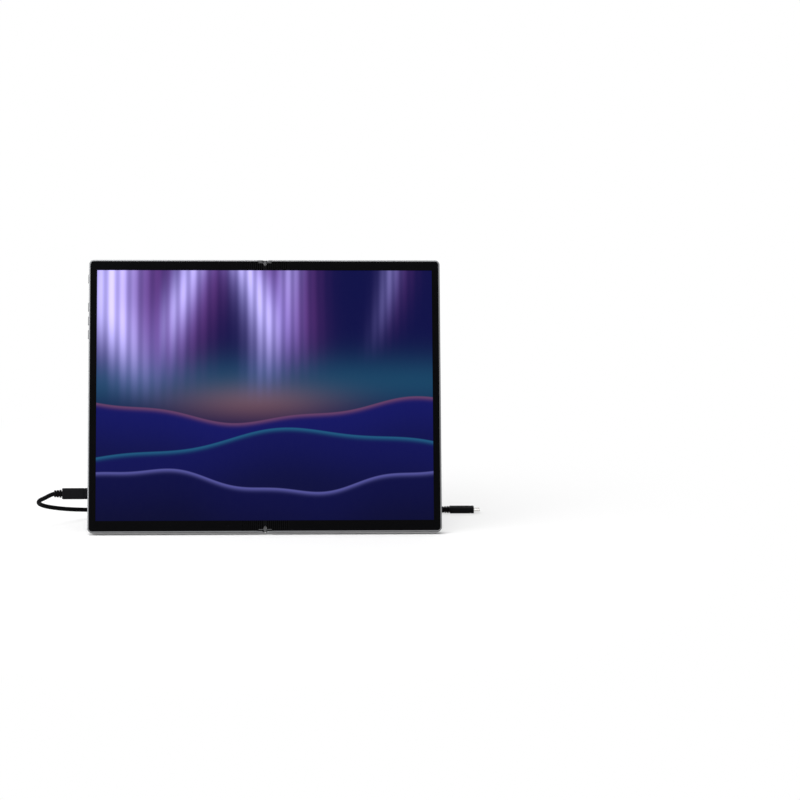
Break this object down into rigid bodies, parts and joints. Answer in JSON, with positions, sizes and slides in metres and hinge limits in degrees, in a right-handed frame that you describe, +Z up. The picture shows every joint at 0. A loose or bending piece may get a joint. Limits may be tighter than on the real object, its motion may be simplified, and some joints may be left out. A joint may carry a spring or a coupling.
{
  "type": "foldable portable monitor",
  "caption": "Flat portable monitor whose screen folds shut like a book about a geared hinge, standing on a kickstand with a USB-C cable plugged in.",
  "frame": {"origin": "on the table, under the middle of the open monitor's own box without its cable", "axes": "+X to the viewer's right along the screen's width, +Y away from the viewer, +Z up"},
  "size_m": [0.4682, 0.1062, 0.2723],
  "materials": {
    "casing": "bead-blasted, anodised",
    "bezel": "fine satin",
    "flex_bezel": "matt, ribbed",
    "screen": "lit, glossy film",
    "inner_plate": "plain sheet",
    "hinge_steel": "brushed",
    "gear_steel": "oiled",
    "bronze": "plain",
    "screws": "plated",
    "foot_rubber": "matt",
    "button": "satin",
    "circuit_board": "lacquered",
    "switch": "matt",
    "connector": "nickel-plated",
    "ribbon": "film",
    "plug": "fine satin",
    "cord": "matt"
  },
  "bodies": {
    "left_half": {"left_rear_cover": "casing", "left_bezel": "bezel", "display_left": "screen", "left_support_plate": "inner_plate", "left_plate_screws": "screws", "lower_left_hinge_arm": "hinge_steel", "upper_left_hinge_arm": "hinge_steel", "lower_left_pinion": "gear_steel", "upper_left_pinion": "gear_steel", "left_friction_washers": "bronze", "kickstand_brackets": "hinge_steel", "button_switches": "switch", "button_board": "circuit_board", "mini_hdmi_port": "connector", "usb_c_port_lower": "connector", "usb_c_port_upper": "connector", "main_board": "circuit_board", "board_screws": "screws", "driver_board": "circuit_board", "screen_ribbon": "ribbon", "cable_plug": "plug", "cable_plug_tip": "connector", "cable_boot": "cord", "cable_cord": "cord", "far_boot": "cord", "far_plug": "plug", "far_plug_tip": "connector"},
    "kickstand": {"kickstand_flap": "casing", "kickstand_foot": "foot_rubber", "kickstand_pins": "hinge_steel"},
    "power_button": {"power_button": "button"},
    "menu_button": {"menu_button": "button"},
    "up_button": {"up_button": "button"},
    "down_button": {"down_button": "button"},
    "hinge_spine": {"spine_channel": "hinge_steel", "lower_spine_cap": "hinge_steel", "upper_spine_cap": "hinge_steel", "lower_hinge_block": "hinge_steel", "upper_hinge_block": "hinge_steel", "display_fold": "screen", "lower_flex_bezel": "flex_bezel", "upper_flex_bezel": "flex_bezel"},
    "right_half": {"right_rear_cover": "casing", "right_bezel": "bezel", "display_right": "screen", "right_support_plate": "inner_plate", "right_plate_screws": "screws", "lower_right_hinge_arm": "hinge_steel", "upper_right_hinge_arm": "hinge_steel", "lower_right_pinion": "gear_steel", "upper_right_pinion": "gear_steel", "right_friction_washers": "bronze"},
    "lower_left_idler": {"lower_left_idler": "gear_steel"},
    "lower_right_idler": {"lower_right_idler": "gear_steel"},
    "upper_left_idler": {"upper_left_idler": "gear_steel"},
    "upper_right_idler": {"upper_right_idler": "gear_steel"},
    "left_wing_plate": {"left_wing_plate": "hinge_steel"},
    "right_wing_plate": {"right_wing_plate": "hinge_steel"}
  },
  "joints": [
    {"name": "spine_fold", "type": "hinge", "parent": "left_half", "child": "hinge_spine", "pos_m": [-0.00405, -0.00051, 0.13627], "axis": [0, -0.341, -0.9401], "range_deg": [0, 90], "deforming": ["display_fold", "lower_flex_bezel", "upper_flex_bezel"]},
    {"name": "right_fold", "type": "hinge", "parent": "hinge_spine", "child": "right_half", "pos_m": [0.00495, -0.00051, 0.13627], "axis": [0, -0.341, -0.9401], "range_deg": [0, 90]},
    {"name": "left_wing_tilt", "type": "hinge", "parent": "left_half", "child": "left_wing_plate", "pos_m": [-0.0136, -0.00216, 0.13686], "axis": [0, 0.341, 0.9401], "range_deg": [0, 17]},
    {"name": "right_wing_tilt", "type": "hinge", "parent": "right_half", "child": "right_wing_plate", "pos_m": [0.0145, -0.00216, 0.13686], "axis": [0, -0.341, -0.9401], "range_deg": [0, 17]},
    {"name": "kickstand_hinge", "type": "hinge", "parent": "left_half", "child": "kickstand", "pos_m": [-0.08755, -0.00269, 0.11738], "axis": [1, 0, 0], "range_deg": [-34, 0]},
    {"name": "lower_left_idler_turn", "type": "hinge", "parent": "hinge_spine", "child": "lower_left_idler", "pos_m": [-0.00105, -0.00051, 0.13627], "axis": [0, -0.341, -0.9401], "range_deg": [0, 90]},
    {"name": "lower_right_idler_turn", "type": "hinge", "parent": "hinge_spine", "child": "lower_right_idler", "pos_m": [0.00195, -0.00051, 0.13627], "axis": [0, 0.341, 0.9401], "range_deg": [0, 90]},
    {"name": "upper_left_idler_turn", "type": "hinge", "parent": "hinge_spine", "child": "upper_left_idler", "pos_m": [-0.00105, -0.00051, 0.13627], "axis": [0, -0.341, -0.9401], "range_deg": [0, 90]},
    {"name": "upper_right_idler_turn", "type": "hinge", "parent": "hinge_spine", "child": "upper_right_idler", "pos_m": [0.00195, -0.00051, 0.13627], "axis": [0, 0.341, 0.9401], "range_deg": [0, 90]},
    {"name": "power_button_press", "type": "slide", "parent": "left_half", "child": "power_button", "axis": [1, 0, 0], "range_m": [0, 0.0004], "stiffness_N_per_m": 2000, "springref_m": -0.0004},
    {"name": "menu_button_press", "type": "slide", "parent": "left_half", "child": "menu_button", "axis": [1, 0, 0], "range_m": [0, 0.0004], "stiffness_N_per_m": 2000, "springref_m": -0.0004},
    {"name": "up_button_press", "type": "slide", "parent": "left_half", "child": "up_button", "axis": [1, 0, 0], "range_m": [0, 0.0004], "stiffness_N_per_m": 2000, "springref_m": -0.0004},
    {"name": "down_button_press", "type": "slide", "parent": "left_half", "child": "down_button", "axis": [1, 0, 0], "range_m": [0, 0.0004], "stiffness_N_per_m": 2000, "springref_m": -0.0004}
  ],
  "couplings": [
    {"joint": "right_fold", "follows": "spine_fold", "ratio": 1},
    {"joint": "lower_left_idler_turn", "follows": "spine_fold", "ratio": 1},
    {"joint": "lower_right_idler_turn", "follows": "spine_fold", "ratio": 1},
    {"joint": "upper_left_idler_turn", "follows": "spine_fold", "ratio": 1},
    {"joint": "upper_right_idler_turn", "follows": "spine_fold", "ratio": 1},
    {"joint": "left_wing_tilt", "follows": "spine_fold", "ratio": 0.18889},
    {"joint": "right_wing_tilt", "follows": "spine_fold", "ratio": 0.18889}
  ]
}
